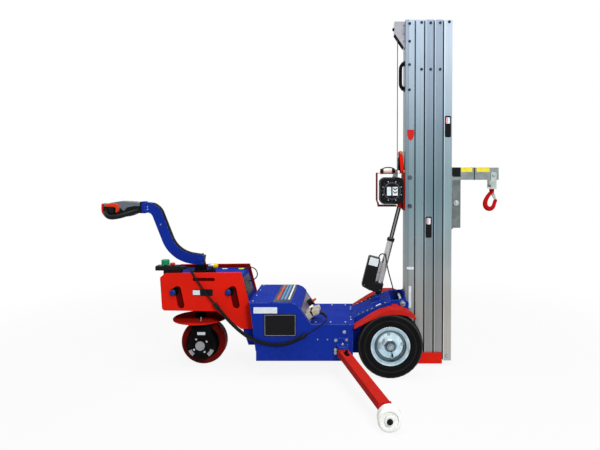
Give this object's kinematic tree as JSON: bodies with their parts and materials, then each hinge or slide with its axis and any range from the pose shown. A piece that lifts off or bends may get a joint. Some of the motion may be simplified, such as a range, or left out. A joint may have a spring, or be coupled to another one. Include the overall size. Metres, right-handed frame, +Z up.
{
  "type": "glazing hoist",
  "caption": "Battery-driven pedestrian hoist for lifting glass: tiller-steered drive wheel, telescopic winch mast that tilts, swing-out outriggers and a hook boom.",
  "frame": {"origin": "on the floor, under the middle of the machine's length and width", "axes": "+X forward, from the tiller to the hook; +Y to the machine's left; +Z up"},
  "size_m": [2.584, 1.991, 2.232],
  "materials": {
    "blue_paint": "gloss paint",
    "red_paint": "gloss paint",
    "bare_aluminium": "anodised",
    "zinc_steel": "zinc plated",
    "bright_steel": "polished",
    "black_plastic": "moulded",
    "grey_plastic": "moulded",
    "white_nylon": "turned",
    "red_plastic": "moulded",
    "green_plastic": "moulded",
    "black_steel": "black coating",
    "tyre_rubber": "matt",
    "red_polyurethane": "cast",
    "cable_jacket": "extruded",
    "battery_case": "lead-filled plastic case"
  },
  "bodies": {
    "frame": {"chassis_frame": "blue_paint", "deck_cover": "blue_paint", "batteries": "battery_case", "power_connectors": "grey_plastic", "mast_cradle": "blue_paint", "main_axle": "zinc_steel", "mast_pivot_pin": "zinc_steel", "fenders": "red_paint", "rear_housing": "blue_paint", "counterweight_plates": "red_paint", "counterweight_studs": "blue_paint", "pendant_body": "black_plastic", "outrigger_brackets": "blue_paint", "actuator_bracket": "blue_paint", "loom_conduit": "cable_jacket", "loom_leads": "cable_jacket"},
    "lid": {"box_lid": "blue_paint"},
    "isolator": {"isolator_key": "red_plastic"},
    "start": {"start_knob": "green_plastic"},
    "stop": {"stop_button": "red_plastic"},
    "steering": {"steering_column": "black_steel", "guard_disc": "red_paint", "drive_motor": "black_steel"},
    "drive_wheel": {"drive_tyre": "red_polyurethane", "drive_hub": "black_steel"},
    "tiller": {"tiller_arm": "blue_paint", "head_shell": "black_plastic", "head_cover": "grey_plastic"},
    "butterfly": {"throttle": "red_plastic"},
    "belly_button": {"safety_button": "red_plastic"},
    "right_wheel": {"right_tyre": "tyre_rubber", "right_rim": "zinc_steel"},
    "left_wheel": {"left_tyre": "tyre_rubber", "left_rim": "zinc_steel"},
    "right_leg": {"right_outrigger": "red_paint"},
    "left_leg": {"left_outrigger": "red_paint"},
    "right_castor": {"right_roller": "white_nylon"},
    "left_castor": {"left_roller": "white_nylon"},
    "mast": {"mast_section_1": "bare_aluminium", "mast_base": "red_paint", "winch_frame": "red_paint", "winch_housing": "black_plastic", "rope_head": "zinc_steel", "carry_handle": "black_plastic", "hoist_rope": "bright_steel"},
    "drum": {"winch_drum": "zinc_steel"},
    "sheave": {"head_sheave": "black_plastic"},
    "guide": {"rope_guide_arm": "red_paint"},
    "section_2": {"mast_section_2": "bare_aluminium"},
    "section_3": {"mast_section_3": "bare_aluminium"},
    "section_4": {"mast_section_4": "bare_aluminium"},
    "carriage": {"carriage": "bare_aluminium", "boom": "zinc_steel"},
    "link": {"hook_link": "zinc_steel"},
    "hook": {"hook": "red_paint"},
    "latch": {"hook_latch": "zinc_steel"},
    "actuator": {"actuator_housing": "black_plastic", "actuator_tube": "bare_aluminium", "actuator_lead": "cable_jacket"},
    "rod": {"actuator_rod": "bright_steel"}
  },
  "joints": [
    {"name": "steer", "type": "hinge", "parent": "frame", "child": "steering", "pos_m": [-0.66, 0, 0.45], "axis": [0, 0, 1], "range_deg": [-60, 60]},
    {"name": "drive_wheel_spin", "type": "hinge", "parent": "steering", "child": "drive_wheel", "pos_m": [-0.632, 0, 0.145], "axis": [0, 1, 0], "continuous": true},
    {"name": "tiller_lift", "type": "hinge", "parent": "steering", "child": "tiller", "pos_m": [-0.65685, 0, 0.67908], "axis": [0, 1, 0], "range_deg": [0, 45]},
    {"name": "throttle_turn", "type": "hinge", "parent": "tiller", "child": "butterfly", "pos_m": [-1.22, 0, 1.012], "axis": [0, 1, 0], "range_deg": [-25, 25], "stiffness_Nm_per_rad": 1},
    {"name": "belly_button_press", "type": "slide", "parent": "tiller", "child": "belly_button", "axis": [1, 0, 0], "range_m": [0, 0.006], "stiffness_N_per_m": 1500, "springref_m": -0.003},
    {"name": "start_press", "type": "slide", "parent": "frame", "child": "start", "axis": [0, 0, -1], "range_m": [0, 0.004], "stiffness_N_per_m": 2500, "springref_m": -0.002},
    {"name": "stop_press", "type": "slide", "parent": "frame", "child": "stop", "axis": [0, 0, -1], "range_m": [0, 0.004], "stiffness_N_per_m": 2500, "springref_m": -0.002},
    {"name": "isolator_turn", "type": "hinge", "parent": "frame", "child": "isolator", "pos_m": [0.04976, 0.062, 0.37101], "axis": [0.8228, 0, 0.5683], "range_deg": [0, 90]},
    {"name": "lid_open", "type": "hinge", "parent": "frame", "child": "lid", "pos_m": [-0.294, 0, 0.456], "axis": [0, -1, 0], "range_deg": [0, 70]},
    {"name": "right_wheel_spin", "type": "hinge", "parent": "frame", "child": "right_wheel", "pos_m": [0.57, -0.257, 0.2], "axis": [0, 1, 0], "continuous": true},
    {"name": "left_wheel_spin", "type": "hinge", "parent": "frame", "child": "left_wheel", "pos_m": [0.57, 0.257, 0.2], "axis": [0, 1, 0], "continuous": true},
    {"name": "right_outrigger_swing", "type": "hinge", "parent": "frame", "child": "right_leg", "pos_m": [0.28, -0.3, 0.163], "axis": [0, 0, -1], "range_deg": [0, 105]},
    {"name": "left_outrigger_swing", "type": "hinge", "parent": "frame", "child": "left_leg", "pos_m": [0.28, 0.3, 0.163], "axis": [0, 0, 1], "range_deg": [0, 105]},
    {"name": "right_roller_spin", "type": "hinge", "parent": "right_leg", "child": "right_castor", "pos_m": [0.511, -0.95, 0.06], "axis": [0, 1, 0], "continuous": true},
    {"name": "left_roller_spin", "type": "hinge", "parent": "left_leg", "child": "left_castor", "pos_m": [0.511, 0.95, 0.06], "axis": [0, 1, 0], "continuous": true},
    {"name": "mast_tilt", "type": "hinge", "parent": "frame", "child": "mast", "pos_m": [0.658, 0, 0.425], "axis": [0, -1, 0], "range_deg": [-3, 12]},
    {"name": "actuator_swing", "type": "hinge", "parent": "frame", "child": "actuator", "pos_m": [0.5, 0, 0.436], "axis": [0, -1, 0], "range_deg": [-3.2, 12]},
    {"name": "actuator_extend", "type": "slide", "parent": "actuator", "child": "rod", "axis": [0.2456, 0, 0.9694], "range_m": [-0.0345, 0.0095]},
    {"name": "mast_lift", "type": "slide", "parent": "mast", "child": "section_2", "axis": [0, 0, 1], "range_m": [0, 1.6]},
    {"name": "section_3_lift", "type": "slide", "parent": "section_2", "child": "section_3", "axis": [0, 0, 1], "range_m": [0, 1.6]},
    {"name": "section_4_lift", "type": "slide", "parent": "section_3", "child": "section_4", "axis": [0, 0, 1], "range_m": [0, 1.6]},
    {"name": "carriage_lift", "type": "slide", "parent": "section_4", "child": "carriage", "axis": [0, 0, 1], "range_m": [0, 1.6]},
    {"name": "winch_turn", "type": "hinge", "parent": "mast", "child": "drum", "pos_m": [0.595, 0, 1.135], "axis": [0, -1, 0], "range_deg": [0, 8740]},
    {"name": "sheave_turn", "type": "hinge", "parent": "mast", "child": "sheave", "pos_m": [0.67, 0, 2.165], "axis": [0, 1, 0], "range_deg": [-11120, 0]},
    {"name": "rope_guide_lean", "type": "hinge", "parent": "mast", "child": "guide", "pos_m": [0.668, 0, 1.258], "axis": [0, 1, 0], "range_deg": [0, 3], "stiffness_Nm_per_rad": 6, "springref_deg": -5.73},
    {"name": "hook_swing", "type": "hinge", "parent": "carriage", "child": "link", "pos_m": [1.258, 0, 1.232], "axis": [0, -1, 0], "range_deg": [-45, 60]},
    {"name": "hook_swivel", "type": "hinge", "parent": "link", "child": "hook", "pos_m": [1.258, 0, 1.14], "axis": [0, 0, 1], "continuous": true},
    {"name": "latch_open", "type": "hinge", "parent": "hook", "child": "latch", "pos_m": [1.264, 0, 1.112], "axis": [0, 1, 0], "range_deg": [0, 30], "stiffness_Nm_per_rad": 0.1, "springref_deg": -17.19}
  ],
  "couplings": [
    {"joint": "actuator_swing", "follows": "mast_tilt", "ratio": 0.974},
    {"joint": "actuator_extend", "follows": "mast_tilt", "m_per_rad": -0.1575},
    {"joint": "section_3_lift", "follows": "mast_lift", "ratio": 1},
    {"joint": "section_4_lift", "follows": "mast_lift", "ratio": 1},
    {"joint": "carriage_lift", "follows": "mast_lift", "ratio": 1},
    {"joint": "winch_turn", "follows": "mast_lift", "rad_per_m": 95.238},
    {"joint": "sheave_turn", "follows": "mast_lift", "rad_per_m": -121.21}
  ]
}
